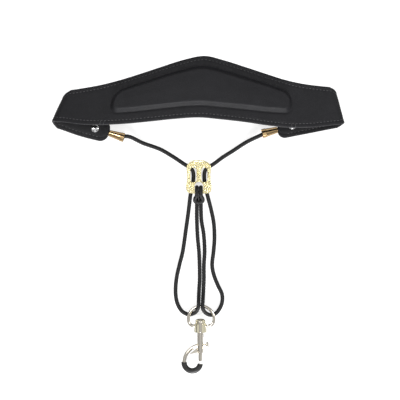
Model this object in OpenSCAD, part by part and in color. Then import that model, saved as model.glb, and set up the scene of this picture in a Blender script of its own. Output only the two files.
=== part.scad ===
// Saxophone neck strap laid on a table: a leather neck pad whose ends curl under, a cord
// adjuster, a wire ring and a bolt snap. X runs across the strap, +Y towards the neck pad, +Z up.

/* [Neck pad] */
// Width across the folded pad
pad_w = 304; // [290:1:370]
// Height of the raised front panel above the table
pad_lift = 45; // [40:1:55]
// Radius of the tight fold at each side
fold_r = 7; // [6:0.5:8]
// Thickness of the neck-side lining
lining_t = 1.4; // [1:0.1:2]
// Thickness of the outer leather
cover_t = 1.7; // [1.2:0.1:2.2]
// Height of the foam cushion between them
cushion_h = 5; // [3:0.5:7]
// Half length of the cushion
cushion_half = 94; // [80:1:100]

/* [Cord and fittings] */
// Diameter of the braided cord
cord_d = 4; // [3:0.1:4.2]
// Length of each bell-shaped cord end
bell_l = 16.5; // [14:0.5:20]
// Outer diameter of a bell's mouth
bell_mouth_d = 9.4; // [8.8:0.2:10]
// Outer diameter of a bell's narrow end
bell_neck_d = 6.2; // [5.8:0.2:7]
// Diameter of a rivet's cap
rivet_d = 8; // [6:0.5:9]
// Diameter of a rivet's post
rivet_post_d = 2.6; // [2:0.1:3]

/* [Adjuster] */
// Width of the adjuster plate
adjuster_w = 26.5; // [25:0.5:30]
// Height of the adjuster plate
adjuster_l = 35; // [33:0.5:40]
// Thickness of the adjuster plate
adjuster_t = 8.4; // [8:0.1:10]

/* [Ring and snap hook] */
// Diameter of the ring's wire
ring_wire_d = 3.2; // [2.6:0.1:3.4]
// Radius of the ring's round part, to the middle of the wire
ring_r = 13.4; // [13:0.1:15]
// Diameter of the hook's barrel
barrel_d = 6.4; // [6:0.1:7]
// Diameter of the sliding bolt
bolt_d = 3.8; // [3:0.1:4]
// Travel of the sliding bolt
bolt_travel = 7; // [5:0.5:7.5]

/* [Hidden] */
$fn = 48;
fit = 0.05;     // running clearance on a radius
LEFT = -1;
RIGHT = 1;

// ---- The pad's surface ---------------------------------------------------------------
// Every straight line across the pad points to one apex, so the pad is a developable cone.
apex = [40, 505];
ref_y = 100;             // the plane in which the section is drawn
fold_drop = 18;          // how far the front arches down before its fold
end_z = 7.0;             // height of the end tabs' middle layer
// Middle layer: outline keys [station, lower edge, upper edge]. Stations run 0 to 1 along the
// front, 1 to 2 round the fold and 2 to 3 back to the end of the tab.
left_edges = [[0, 101.5, 164], [0.17, 100, 160], [0.34, 97.5, 153], [0.5, 95.5, 146],
    [0.65, 94.7, 139.8], [0.8, 95.3, 135], [1, 98.5, 131], [1.5, 98.5, 124], [2, 92.5, 118],
    [2.5, 84.5, 108], [3, 78.2, 98.6]];
right_edges = [[0, 101.5, 164], [0.17, 99.5, 159.5], [0.34, 96.8, 153], [0.5, 93.5, 146.5],
    [0.65, 91.7, 140.5], [0.8, 92.3, 136.5], [1, 95.5, 134], [1.5, 97, 129], [2, 93, 123],
    [2.5, 87.5, 112], [3, 81.7, 102]];
left_tab = 53;           // run of each end tab, from the fold back to its end
right_tab = 60;
tab_round = 7;           // radius of a tab's corners
front_x = pad_w / 2 - cover_t - fold_r + 0.4;

function edges(side) = side < 0 ? left_edges : right_edges;
function tab_run(side) = side < 0 ? left_tab : right_tab;
// Smooth curve through keys: each stretch is a cubic with averaged slopes
function slope(k, i, c) = i == 0 ? 0 : i == len(k) - 1
    ? (k[i][c] - k[i - 1][c]) / (k[i][0] - k[i - 1][0])
    : (k[i + 1][c] - k[i - 1][c]) / (k[i + 1][0] - k[i - 1][0]);
function stretch(k, t, i = 0) = i >= len(k) - 2 || t <= k[i + 1][0] ? i : stretch(k, t, i + 1);
function smooth_key(k, t, c) = let (i = stretch(k, t), w = k[i + 1][0] - k[i][0],
    s = (t - k[i][0]) / w, m0 = slope(k, i, c) * w, m1 = slope(k, i + 1, c) * w)
    (2*s^3 - 3*s^2 + 1) * k[i][c] + (s^3 - 2*s^2 + s) * m0
    + (3*s^2 - 2*s^3) * k[i + 1][c] + (s^3 - s^2) * m1;

// The section at a station: [x, z] of the middle layer
lift = pad_lift - cover_t;
front_lean = atan(2 * fold_drop / front_x);
fold_turn = 180 - front_lean - 6;
fold_z = lift - fold_drop - fold_r * cos(front_lean);
fold_x = front_x - fold_r * sin(front_lean);
back_x = fold_x + fold_r * cos(90 - front_lean - fold_turn);
back_z = fold_z + fold_r * sin(90 - front_lean - fold_turn);
function section(side, t) =
    t <= 1 ? [t * front_x, lift - fold_drop * t * t] :
    t <= 2 ? let (a = 90 - front_lean - fold_turn * (t - 1))
        [fold_x + fold_r * cos(a), fold_z + fold_r * sin(a)] :
    [back_x - (t - 2) * tab_run(side), end_z + (back_z - end_z) * (3 - t)^2];
// Rounding of the tab's corners, as a share of its half width
function corner(side, t) = let (d = (3 - t) * tab_run(side))
    d >= tab_round ? 1 : 0.38 + 0.62 * sqrt(1 - (1 - d / tab_round)^2);
function edge_y(side, t, f) = let (lo = smooth_key(edges(side), t, 1),
    hi = smooth_key(edges(side), t, 2), m = (lo + hi) / 2)
    m + (f - 0.5) * (hi - lo) * corner(side, t);
// A point of the middle layer: f runs 0 at the lower edge to 1 at the upper edge
function on_cone(side, t, y) = let (s = section(side, t), k = (apex[1] - y) / (apex[1] - ref_y))
    [apex[0] + (side * s[0] - apex[0]) * k, y, s[1] * (0.35 + 0.65 * k)];
function mid(side, t, f) = on_cone(side, t, edge_y(side, t, f));
function unit(v) = v / norm(v);
// Outward direction, towards the leather cover
function outward(side, t, f) = let (e = 0.02, t0 = max(0, t - e), t1 = min(3, t + e),
    y = edge_y(side, t, f), a = on_cone(side, t1, y) - on_cone(side, t0, y),
    b = on_cone(side, t, y + 1) - on_cone(side, t, y - 1)) unit(cross(a, b)) * side;

// Space between lining and cover: the cushion at the front, a pocket for the cord at each end
function ramp(x) = x <= 0 ? 0 : x >= 1 ? 1 : x * x * (3 - 2 * x);
function cushion(t, f) = let (x = t * front_x, e = ramp((cushion_half - x) / 8),
    v = min(f - 0.2, 0.86 - f) / 0.09) t > 1 ? 0 : cushion_h * e * ramp(v);
pocket_h = cord_d + 0.6;
pocket_end = 14;         // length over which a pocket closes beyond the cord's tail
tail_run = 20;           // how far the flattened tail reaches into the tab
tail_flat = 2.2;         // thickness of the flattened tail
tail_clear = 0.3;        // space under it
function pocket(side, t, f) = let (d = (3 - t) * tab_run(side),
    off = abs(edge_y(side, t, f) - edge_y(side, t, 0.5)))
    t < 2 ? 0 : pocket_depth(side, d) * ramp((tail_run + pocket_end - d) / pocket_end)
        * ramp((cord_d / 2 + 5.5 - off) / 4);
// Deep enough for the level tail where the tab rises above it
function pocket_depth(side, d) = let (
    rise = section(side, 3 - min(d, tail_run) / tab_run(side))[1] - end_z)
    max(pocket_h, pocket_h / 2 + rise + tail_flat / 2 + tail_clear);
function gap(side, t, f) = cushion(t, f) + pocket(side, t, f);
function layer(side, t, f, h) = mid(side, t, f) + outward(side, t, f) * h;

// Stations from the left end to the right end
tab_ts = [0, 0.04, 0.09, 0.14, 0.2, 0.3, 0.38, 0.46, 0.55, 0.75];
front_ts = [for (x = [0.05:0.05:0.58]) x, 0.61, 0.645, 0.68, 0.75, 0.82, 0.91];
half_ts = concat([for (d = tab_ts) 3 - d], [for (i = [8:-1:0]) 1 + i / 8],
    [for (i = [len(front_ts) - 1:-1:0]) front_ts[i]]);
stations = concat([for (t = half_ts) [LEFT, t]], [[RIGHT, 0]],
    [for (i = [len(half_ts) - 1:-1:0]) [RIGHT, half_ts[i]]]);
across = [0, 0.1, 0.2, 0.29, 0.36, 0.5, 0.64, 0.71, 0.77, 0.86, 0.93, 1];

// Closed solid between two grids of points with the same rows and columns
function grid_faces(r, c, base, flip) = [for (i = [0:r - 2], j = [0:c - 2], h = [0, 1])
    let (a = base + i*c + j, b = a + 1, d = a + c, e = d + 1,
         tri = h == 0 ? [a, b, e] : [a, e, d]) flip ? [tri[2], tri[1], tri[0]] : tri];
function rim(r, c) = concat([for (j = [0:c - 1]) j], [for (i = [1:r - 1]) i*c + c - 1],
    [for (j = [c - 2:-1:0]) (r - 1)*c + j], [for (i = [r - 2:-1:1]) i*c]);
module slab_between(low, high, rows, cols) {
    n = rows * cols;
    edge = rim(rows, cols);
    m = len(edge);
    polyhedron(points = concat(low, high), faces = concat(
        grid_faces(rows, cols, 0, false), grid_faces(rows, cols, n, true),
        [for (i = [0:m - 1], h = [0, 1]) let (a = edge[i], b = edge[(i + 1) % m])
            h == 0 ? [b, a, a + n] : [b, a + n, b + n]]), convexity = 8);
}
function pad_grid(cols, h0, use_gap) = [for (s = stations, f = cols)
    layer(s[0], s[1], f, h0 + (use_gap ? gap(s[0], s[1], f) : 0))];

// ---- End tabs, rivets and bells --------------------------------------------------------
rivet_in = 15;           // distance of a rivet from the end of its tab
bell_start = 0.5;        // space between a tab's end and its bell
function tab_end(side) = mid(side, 3, 0.5);
function tab_dir(side) = let (d = tab_end(side) - mid(side, 2.9, 0.5)) unit([d[0], d[1], 0]);
cord_z = tab_end(LEFT)[2] - pocket_h / 2;
// Puts +X along the cord's exit, with the origin at the end of the tab
module at_tab(side) {
    translate([tab_end(side)[0], tab_end(side)[1], cord_z])
        rotate([0, 0, atan2(tab_dir(side)[1], tab_dir(side)[0])]) children();
}
module along_x(r, l) { rotate([0, 90, 0]) cylinder(r = r, h = l); }
// Puts the origin on the middle layer at the rivet, with +Z out through the lining
module at_rivet(side) {
    t = 3 - rivet_in / tab_run(side);
    n = -outward(side, t, 0.5);
    translate(mid(side, t, 0.5)) rotate([0, acos(n[2]), atan2(n[1], n[0])]) children();
}
module rivet_hole(side) {
    at_rivet(side) translate([0, 0, -15]) cylinder(r = rivet_post_d / 2 + fit, h = 25);
}
cap_seat = lining_t + 0.15;
foot_r = rivet_d / 2 - 0.6;
// The post's foot lies against the cover, clear of its deepest point
function foot_top(side) = -pocket_depth(side, rivet_in + foot_r) - cover_t - 0.1;

module pad_cover() color([0.07, 0.07, 0.08]) difference() {
    slab_between(pad_grid(across, 0, true), pad_grid(across, cover_t, true),
        len(stations), len(across));
    for (side = [LEFT, RIGHT]) rivet_hole(side);
}
module pad_lining() color([0.10, 0.10, 0.11]) difference() {
    slab_between(pad_grid(across, -lining_t, false), pad_grid(across, 0, false),
        len(stations), len(across));
    for (side = [LEFT, RIGHT]) rivet_hole(side);
}
// The foam fills the space under the raised panel
foam_t = cushion_half / front_x;
foam_ts = [for (x = [0.05:0.05:0.58]) if (x < foam_t) x, for (x = [0.61, 0.645])
    if (x < foam_t) x];
foam_stations = concat([for (i = [len(foam_ts) - 1:-1:0]) [LEFT, foam_ts[i]]], [[RIGHT, 0]],
    [for (t = foam_ts) [RIGHT, t]]);
foam_across = [0.21, 0.29, 0.36, 0.5, 0.64, 0.71, 0.77, 0.85];
module pad_foam() color([0.35, 0.35, 0.37]) slab_between(
    [for (s = foam_stations, f = foam_across) layer(s[0], s[1], f, 0)],
    [for (s = foam_stations, f = foam_across)
        layer(s[0], s[1], f, max(0.15, cushion(s[1], f) - 0.02))],
    len(foam_stations), len(foam_across));

cap_post = 1.1;          // how far the post reaches into its cap
module rivet_cap(side) color([0.80, 0.80, 0.82])
    at_rivet(side) translate([0, 0, cap_seat]) difference() {
        rotate_extrude() polygon([[0, 0], [rivet_d / 2, 0], [rivet_d / 2, 0.7],
            [rivet_d / 2 - 0.5, 1.2], [rivet_d / 2 - 1.6, 1.7], [0, 1.9]]);
        translate([0, 0, -1]) cylinder(r = rivet_post_d / 2, h = 1 + cap_post);
    }
foot_t = 0.65;
module rivet_post(side) color([0.75, 0.75, 0.77]) at_rivet(side) {
    translate([0, 0, foot_top(side) - foot_t]) cylinder(r = foot_r, h = foot_t);
    translate([0, 0, foot_top(side) - foot_t / 2])
        cylinder(r = rivet_post_d / 2, h = cap_seat + cap_post - foot_top(side) + foot_t / 2);
}
module left_rivet_cap() rivet_cap(LEFT);
module right_rivet_cap() rivet_cap(RIGHT);
module left_rivet_post() rivet_post(LEFT);
module right_rivet_post() rivet_post(RIGHT);

// A tapered gold ferrule, open towards the cord
bell_wall = 0.8;
module bell(side) color([0.83, 0.66, 0.36]) at_tab(side) translate([bell_start, 0, 0])
    rotate([0, 90, 0]) rotate_extrude() polygon([
        [cord_d / 2 + 0.2, 0], [bell_neck_d / 2, 0], [bell_neck_d / 2 + 0.15, 0.6],
        [bell_mouth_d / 2 - 0.35, bell_l - 4.2], [bell_mouth_d / 2, bell_l - 3.9],
        [bell_mouth_d / 2, bell_l - 0.3], [bell_mouth_d / 2 - 0.3, bell_l],
        [bell_mouth_d / 2 - bell_wall, bell_l], [bell_mouth_d / 2 - bell_wall - 0.2, bell_l - 4],
        [cord_d / 2 + 0.2, 3]]);
module left_bell() bell(LEFT);
module right_bell() bell(RIGHT);

tail_out = 7;            // the round cord ends this far inside the bell
round_in = 7;            // and starts this far inside the tab
tail_w = 5;
module cord_tail(side) color([0.12, 0.12, 0.12]) difference() {
    at_tab(side) {
        translate([-round_in, 0, 0]) along_x(cord_d / 2, round_in + tail_out);
        translate([-tail_run, -tail_w / 2, -tail_flat / 2])
            cube([tail_run - round_in + 1, tail_w, tail_flat]);
    }
    rivet_hole(side);
}
module left_cord_tail() cord_tail(LEFT);
module right_cord_tail() cord_tail(RIGHT);

// ---- The cord ----------------------------------------------------------------------------
// Routes run from a bell, through the adjuster and round the ring, up to the hitch
low = cord_d / 2 + 0.1;  // the cord lies on the table
slot_z = adjuster_t / 2 - 0.1;
ring_top = -92.6;        // middle of the ring's wire at its top
ring_c = [3.3, ring_top - ring_r, 5.9];
over = ring_c[2] + (ring_wire_d + cord_d) / 2 + 0.3;   // its height over the ring's wire
function leave(side, d) = let (e = tab_end(side), u = tab_dir(side)) [e[0] + u[0] * d,
    e[1] + u[1] * d, cord_z];
left_route = [leave(LEFT, 7), leave(LEFT, 12), [-72, 84.5, 4], [-58, 78, low],
    [-40, 71.5, low], [-26, 63.5, low + 0.2], [-14, 55.5, slot_z],
    [-7.5, 51.5, slot_z], [-5, 47, slot_z], [-5, 38, slot_z], [-6.5, 30, slot_z], [-8, 22.5, slot_z - 0.2],
    [-10, 6, low], [-12.5, -12, low], [-16, -36, low], [-19.5, -50, low], [-22.5, -64, low],
    [-23.5, -78, low], [-22, -89, low], [-17.5, -97.5, low],
    [-12.5, -101, low], [-8.5, -101.8, low], [-5, -100.6, 3.5], [-2.2, -98.6, 6.2],
    [-0.6, -96, over - 1], [0.4, -93, over], [0.7, -88, over - 1],
    [1, -78, 3.4], [1.8, -64, low], [1.6, -50, low], [1, -36, low], [-0.4, -21, low],
    [-1.2, -3, low], [-1.2, 12, low]];
right_route = [leave(RIGHT, 7), leave(RIGHT, 12), [63.5, 85, 4], [51, 79, low],
    [35.5, 69, low], [26, 63, low + 0.2], [15.8, 55.5, slot_z],
    [9.3, 51.5, slot_z], [6.8, 47, slot_z], [6.8, 38, slot_z], [8.3, 30, slot_z], [10, 22.5, slot_z - 0.2],
    [13.5, 9, low], [16.5, -6, low], [17.3, -22, low], [16.3, -36, low], [14.8, -50, low],
    [16.5, -60, low], [21, -71.5, low], [25, -80, low], [25.6, -87, low], [23.5, -94, low],
    [19, -100.3, low], [14.5, -102.2, low], [10.8, -101.6, 3.1], [7.6, -99.2, 5.8],
    [5.6, -96.2, over - 1], [4.7, -93, over], [5, -88, over - 1],
    [5.6, -78, 3.4], [6.2, -64, low], [6.2, -50, low], [7, -36, low], [6, -18, low],
    [3.6, -3, low], [3, 12, low]];
upper_n = 6;             // rings 0 to 6 reach the adjuster
slot_n = 11;             // to ring 11 the cord is held in the adjuster
left_bight = [20, 26];   // rings round the ring
right_bight = [22, 28];
hitch_half = [[-1.2, 16, low], [-1.2, 25, low], [-1.2, 28.9, low], [-1.2, 31, low + 1.5],
    [-1.2, 31.6, low + 3.5], [-1.2, 31.3, adjuster_t - 0.2], [-1.2, 30.2, adjuster_t + 1.6],
    [-1.2, 27.9, adjuster_t + 2.5], [-1.2, 25, adjuster_t + 2.5], [-1.4, 22.3, 10],
    [-3, 19.6, 7.8], [-2.8, 16.8, 6.6]];
hitch_x = 0.9;
hitch_route = concat([[-1.2, 12, low]], hitch_half, [[hitch_x, 15.6, 6.4]],
    [for (i = [len(hitch_half) - 1:-1:0]) [2 * hitch_x - hitch_half[i][0], hitch_half[i][1],
        hitch_half[i][2]]], [[3, 12, low]]);

function tangent(p, i) = unit(p[min(i + 1, len(p) - 1)] - p[max(i - 1, 0)]);
function carried(n, t) = unit(n - (n * t) * t);
// Side vectors carried along the route without twist
function side_vectors(p) = [for (i = 0, n = carried([0, 0, 1], tangent(p, 0)); i < len(p);
    i = i + 1, n = i < len(p) ? carried(n, tangent(p, i)) : n) n];
cord_sides = 8;
module tube(route, first, last, r = cord_d / 2, sides = cord_sides) {
    side_n = side_vectors(route);
    turn = 360 / sides;
    rings = [for (i = [first:last]) let (t = tangent(route, i), n = side_n[i], b = cross(t, n))
        for (k = [0:sides - 1]) route[i] + r * (cos(turn * k) * n + sin(turn * k) * b)];
    m = last - first + 1;
    polyhedron(points = rings, faces = concat(
        [[for (k = [0:sides - 1]) k]],
        [[for (k = [sides - 1:-1:0]) (m - 1) * sides + k]],
        [for (i = [0:m - 2], k = [0:sides - 1], h = [0, 1])
            let (a = i * sides + k, b = i * sides + (k + 1) % sides)
            h == 0 ? [b, a, a + sides] : [b, a + sides, b + sides]]));
}
// Points along an arc in the XY plane
function arc(c, r, from, to, n) = [for (i = [0:n]) let (a = from + (to - from) * i / n)
    [c[0] + r * cos(a), c[1] + r * sin(a), 0]];
function after_first(list) = [for (i = [1:len(list) - 1]) list[i]];
module cord(route, first, last) color([0.12, 0.12, 0.12]) tube(route, first, last);
module left_upper_cord() cord(left_route, 0, upper_n);
module right_upper_cord() cord(right_route, 0, upper_n);
module left_slot_cord() cord(left_route, upper_n, slot_n);
module right_slot_cord() cord(right_route, upper_n, slot_n);
module left_outer_strand() cord(left_route, slot_n, left_bight[0]);
module right_outer_strand() cord(right_route, slot_n, right_bight[0]);
module left_ring_bight() cord(left_route, left_bight[0], left_bight[1]);
module right_ring_bight() cord(right_route, right_bight[0], right_bight[1]);
module left_inner_strand() cord(left_route, left_bight[1], len(left_route) - 1);
module right_inner_strand() cord(right_route, right_bight[1], len(right_route) - 1);
module cord_hitch() cord(hitch_route, 0, len(hitch_route) - 1);

// ---- Adjuster ------------------------------------------------------------------------------
adjuster_foot = 24.5;    // its lower end
adjuster_c = [hitch_x, adjuster_foot + adjuster_l / 2];
slot_w = 6.4;
slot_l = 15.5;
slot_off = 5.7;          // from the plate's middle to the middle of a slot
slot_up = 2.4;
mouth_w = 9;             // width of the hole and the notch that take the hitch
mouth_h = 3.9;
notch_h = 4.4;           // height of the notch under the lower rim
channel_r = cord_d / 2 + 0.35;
// Outline of one half, from the top round to the bottom
half_plate = [[0, 0.5], [0.2, 0.5], [0.36, 0.44], [0.46, 0.36], [0.485, 0.27], [0.455, 0.14],
    [0.45, 0], [0.465, -0.14], [0.5, -0.24], [0.5, -0.36], [0.46, -0.44], [0.38, -0.475],
    [0.2, -0.49], [0, -0.5]];
plate = concat([for (p = half_plate) [p[0] * adjuster_w, p[1] * adjuster_l]],
    [for (i = [len(half_plate) - 2:-1:1]) [-half_plate[i][0] * adjuster_w,
        half_plate[i][1] * adjuster_l]]);
// Square-sided channel along a stretch of the route
module flat_slot(a, b) {
    d = b - a;
    translate([a[0], a[1], slot_z]) rotate([0, 0, atan2(d[1], d[0])])
        translate([-1.2, -channel_r, -channel_r])
            cube([norm([d[0], d[1]]) + 2.4, 2 * channel_r, 2 * channel_r]);
}
module channel(route) {
    for (i = [upper_n:slot_n - 1]) flat_slot(route[i], route[i + 1]);
    flat_slot(route[upper_n] - 3 * unit(route[upper_n + 1] - route[upper_n]), route[upper_n]);
    flat_slot(route[slot_n], route[slot_n] + 3 * unit(route[slot_n] - route[slot_n - 1]));
}
module long_hole(w, l, h) {
    cube([w, l - w, h], center = true);
    for (e = [-1, 1]) translate([0, e * (l - w) / 2, 0]) cylinder(d = w, h = h, center = true);
}
rim_w = 4.2;             // the lower rim that the hitch goes round
module adjuster_body() color([0.87, 0.80, 0.50]) difference() {
    translate([adjuster_c[0], adjuster_c[1], 0]) difference() {
        linear_extrude(adjuster_t) polygon(plate);
        for (side = [LEFT, RIGHT]) translate([side * slot_off, slot_up, 0])
            long_hole(slot_w, slot_l, 40);
        translate([0, -adjuster_l / 2 + rim_w + mouth_h, 0]) {
            cylinder(d = mouth_w, h = 40, center = true);
            translate([-mouth_w / 2, -mouth_h, -20]) cube([mouth_w, mouth_h, 40]);
        }
        translate([-mouth_w / 2, -adjuster_l / 2 - 1, -1])
            cube([mouth_w, rim_w + 2, notch_h + 1]);
    }
    channel(left_route);
    channel(right_route);
}

// ---- Ring ------------------------------------------------------------------------------------
corner_r = 6;            // the two tighter bends beside the flattened bottom
corner_from = 10;        // angles below level where the bends start and end
corner_to = 75;
corner_c = (ring_r - corner_r) * [cos(corner_from), -sin(corner_from)];
bottom_up = corner_c[0] / cos(corner_to);
bottom_r = corner_r + bottom_up;
bottom_c = corner_c[1] + bottom_up * sin(corner_to);
gap_from = 4;            // where the wire's ends meet, in degrees along the bottom arc
ring_gap = 1.4;          // degrees of the bottom arc left open between the wire's ends
module arc_tube(r, from, to, thick) {
    rotate([0, 0, from]) rotate_extrude(angle = to - from) translate([r, 0]) circle(d = thick);
}
// The wire, from one end beside the gap all the way round to the other
ring_path = concat(
    arc([0, bottom_c], bottom_r, -corner_to - gap_from + ring_gap, -corner_to, 1),
    after_first(arc(corner_c, corner_r, -corner_to, -corner_from, 6)),
    after_first(arc([0, 0], ring_r, -corner_from, 180 + corner_from, 22)),
    after_first(arc([-corner_c[0], corner_c[1]], corner_r, 180 + corner_from,
        180 + corner_to, 6)),
    after_first(arc([0, bottom_c], bottom_r, -180 + corner_to, -corner_to - gap_from, 6)));
module hook_ring() color([0.80, 0.76, 0.64]) translate(ring_c)
    tube(ring_path, 0, len(ring_path) - 1, ring_wire_d / 2, 12);

// ---- Swivel head and hook -----------------------------------------------------------------------
hook_x = 2.5;
hook_z = ring_c[2];
head_w = 12.6;
head_t = 10.4;
bow = bottom_r * (1 - cos(asin(head_w / 2 / bottom_r)));
wire_y = ring_c[1] + bottom_c - bottom_r + bow / 2;   // middle of the wire inside the head
wire_hole_r = ring_wire_d / 2 + bow / 2 + 0.2;
head_bottom = wire_y - 5.7;
neck_r = 2.2;
flange_r = 3.5;
flange_t = 1.4;
lip_t = 1.1;
module along_y(y, r, l) {
    translate([hook_x, y, hook_z]) rotate([-90, 0, 0]) cylinder(r = r, h = l);
}
module swivel_head() color([0.80, 0.76, 0.60]) difference() {
    union() {
        intersection() {
            along_y(head_bottom, head_w / 2, 8.4);
            translate([hook_x - head_w, head_bottom, hook_z - head_t / 2])
                cube([2 * head_w, 9, head_t]);
        }
        translate([hook_x, head_bottom + 8.3, hook_z]) rotate([-90, 0, 0]) rotate_extrude()
            polygon([[0, 0], [5.1, 0], [5.1, 3.4], [4.6, 4.5], [3, 5.3], [0, 5.5]]);
    }
    translate([hook_x - 20, wire_y, hook_z]) along_x(wire_hole_r, 40);
    along_y(head_bottom - 1, neck_r + fit, lip_t + 1.5);
    along_y(head_bottom + lip_t, flange_r + fit, flange_t + 0.2);
}
barrel_top = head_bottom - 0.7;
barrel_bottom = barrel_top - 20.6;
bolt_tip = barrel_bottom - 9.2;
loop_r = 8.5;            // round bottom of the hook
arm_r = 18.2;            // long curve of the arm
arm_d = 3.8;
loop_y = bolt_tip - 1.5;
tip_end = -8;            // the loop stops this many degrees before the bolt
stem_y = barrel_top - 13.4;
stem_r = 1.5;
bore_r = bolt_d / 2 + fit;
spring_top = barrel_top - 1.2;
hook_path = concat(arc([arm_r - 2 * loop_r, loop_y], arm_r, 104, 180, 9),
    after_first(arc([-loop_r, loop_y], loop_r, 180, 360 + tip_end, 14)));
module hook_plane() { translate([hook_x, 0, hook_z]) children(); }
module hook_body() color([0.80, 0.76, 0.68]) {
    difference() {
        union() {
            along_y(barrel_bottom, barrel_d / 2, barrel_top - barrel_bottom);
            along_y(barrel_top - 0.1, neck_r, 0.8 + lip_t + 0.2);
            along_y(head_bottom + lip_t + 0.1, flange_r, flange_t);
            hook_plane() tube(hook_path, 0, len(hook_path) - 1, arm_d / 2, 12);
            hook_plane() translate([0, 0, -0.8]) linear_extrude(1.6) polygon([
                [-barrel_d / 2 + 0.4, barrel_bottom + 5], [-11.5, barrel_bottom - 2],
                [-barrel_d / 2 + 0.4, barrel_bottom + 0.4]]);
        }
        along_y(barrel_bottom - 12, bore_r, spring_top - barrel_bottom + 12);
        hook_plane() translate([0, stem_y - stem_r - fit, -stem_r - fit])
            cube([barrel_d, 2 * (stem_r + fit) + bolt_travel, 2 * (stem_r + fit)]);
    }
}
sleeve_t = 1;
module hook_sleeve() color([0.05, 0.05, 0.05]) hook_plane()
    translate([-loop_r, loop_y, 0]) difference() {
        arc_tube(loop_r, 176, 360 + tip_end - 1, arm_d + 2 * sleeve_t);
        arc_tube(loop_r, 170, 360 + tip_end + 1, arm_d);
    }
bolt_back = stem_y + stem_r + 0.6;
module trigger_bolt() color([0.82, 0.78, 0.68]) difference() {
    union() {
        along_y(bolt_tip, bolt_d / 2 - 0.5, 1);
        along_y(bolt_tip + 0.9, bolt_d / 2, bolt_back - bolt_tip - 0.9);
    }
    translate([hook_x, stem_y, hook_z]) along_x(stem_r - 0.4, 9);
}
module thumb_knob() color([0.82, 0.78, 0.68]) translate([hook_x, stem_y, hook_z]) {
    along_x(stem_r - 0.4, 3);
    translate([bolt_d / 2 + 0.02, 0, 0]) along_x(stem_r, 4.4);
    translate([6.1, 0, 0]) rotate([0, 90, 0]) rotate_extrude()
        polygon([[0, 0], [3.2, 0], [3.7, 0.5], [3.7, 1.8], [3.1, 2.4], [0, 2.6]]);
}
spring_wire = 0.5;
spring_coils = 6;
module trigger_spring() color([0.6, 0.6, 0.62]) {
    l = spring_top - bolt_back - spring_wire - 0.1;
    for (i = [0:spring_coils])
        translate([hook_x, bolt_back + spring_wire / 2 + 0.05 + l * i / spring_coils, hook_z])
            rotate([90, 0, 0]) rotate_extrude() translate([bore_r - spring_wire / 2 - 0.15, 0])
                circle(d = spring_wire, $fn = 16);
}

pad_cover();
pad_lining();
pad_foam();
left_rivet_cap();
right_rivet_cap();
left_rivet_post();
right_rivet_post();
left_bell();
right_bell();
left_cord_tail();
right_cord_tail();
left_upper_cord();
right_upper_cord();
adjuster_body();
left_slot_cord();
right_slot_cord();
cord_hitch();
left_outer_strand();
right_outer_strand();
left_inner_strand();
right_inner_strand();
left_ring_bight();
right_ring_bight();
hook_ring();
swivel_head();
hook_body();
hook_sleeve();
trigger_bolt();
thumb_knob();
trigger_spring();
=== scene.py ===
# %% [markdown]
# # Saxophone neck strap
# The strap lies on a table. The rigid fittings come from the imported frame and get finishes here.
# The soft parts are built here: the leather pad, its stitching and the braided cord.
# Lengths in this file are in millimetres until a mesh is made, because the frame is in metres.

# %% Load the frame
import math
import bpy
import numpy as np
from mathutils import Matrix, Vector


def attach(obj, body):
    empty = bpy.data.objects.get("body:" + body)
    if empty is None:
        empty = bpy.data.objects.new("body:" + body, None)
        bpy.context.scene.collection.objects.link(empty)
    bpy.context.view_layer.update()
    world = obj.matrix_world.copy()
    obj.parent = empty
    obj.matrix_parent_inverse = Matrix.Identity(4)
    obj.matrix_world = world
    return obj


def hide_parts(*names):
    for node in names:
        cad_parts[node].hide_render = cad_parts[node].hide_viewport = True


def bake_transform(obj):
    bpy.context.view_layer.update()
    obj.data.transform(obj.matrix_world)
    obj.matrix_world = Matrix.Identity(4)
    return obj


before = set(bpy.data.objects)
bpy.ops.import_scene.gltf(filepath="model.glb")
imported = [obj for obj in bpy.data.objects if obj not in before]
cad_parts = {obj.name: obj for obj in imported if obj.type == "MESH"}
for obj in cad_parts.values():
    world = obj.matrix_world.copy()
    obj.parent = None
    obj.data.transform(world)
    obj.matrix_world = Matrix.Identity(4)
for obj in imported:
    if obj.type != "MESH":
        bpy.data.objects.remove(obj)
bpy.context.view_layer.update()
MM = 0.001
LEFT, RIGHT = -1, 1

# %% [markdown]
# ## Camera, floor and light
# The strap is seen from straight above, so the camera looks down from a little over a metre.
# Distance matters: the pad stands 45 mm off the table, and a far camera keeps it from looming.
# A white table and wide soft lamps give an even light. The brightest lamp stands at the hook's
# end, so the flank of the cushion that faces it catches the light.

# %% Camera
VIEW_X, VIEW_Y, VIEW_H = 2.1, 18.2, 1100
FIELD = 420                       # width of table in view
SENSOR_W = 36
camera_data = bpy.data.cameras.new("camera")
camera = bpy.data.objects.new("camera", camera_data)
bpy.context.collection.objects.link(camera)
camera.location = (VIEW_X * MM, VIEW_Y * MM, VIEW_H * MM)
camera_data.sensor_width = SENSOR_W
camera_data.lens = SENSOR_W * VIEW_H / FIELD
bpy.context.scene.camera = camera

# %% Table and lamps
def in_metres(points):
    return [p * MM for p in points]


def mesh_object(name, points, faces, smooth=True):
    mesh = bpy.data.meshes.new(name)
    mesh.from_pydata([tuple(p) for p in points], [], [tuple(f) for f in faces])
    mesh.update()
    if smooth:
        mesh.polygons.foreach_set("use_smooth", [True] * len(mesh.polygons))
    obj = bpy.data.objects.new(name, mesh)
    bpy.context.collection.objects.link(obj)
    return obj


def lamp(name, place, size, watts, look_at=(0, 0, 0)):
    data = bpy.data.lights.new(name, "AREA")
    data.shape = "DISK"
    data.size = size
    data.energy = watts
    obj = bpy.data.objects.new(name, data)
    bpy.context.collection.objects.link(obj)
    obj.location = place
    aim = Vector(look_at) - Vector(place)
    obj.rotation_euler = aim.to_track_quat("-Z", "Y").to_euler()
    return obj


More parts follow.
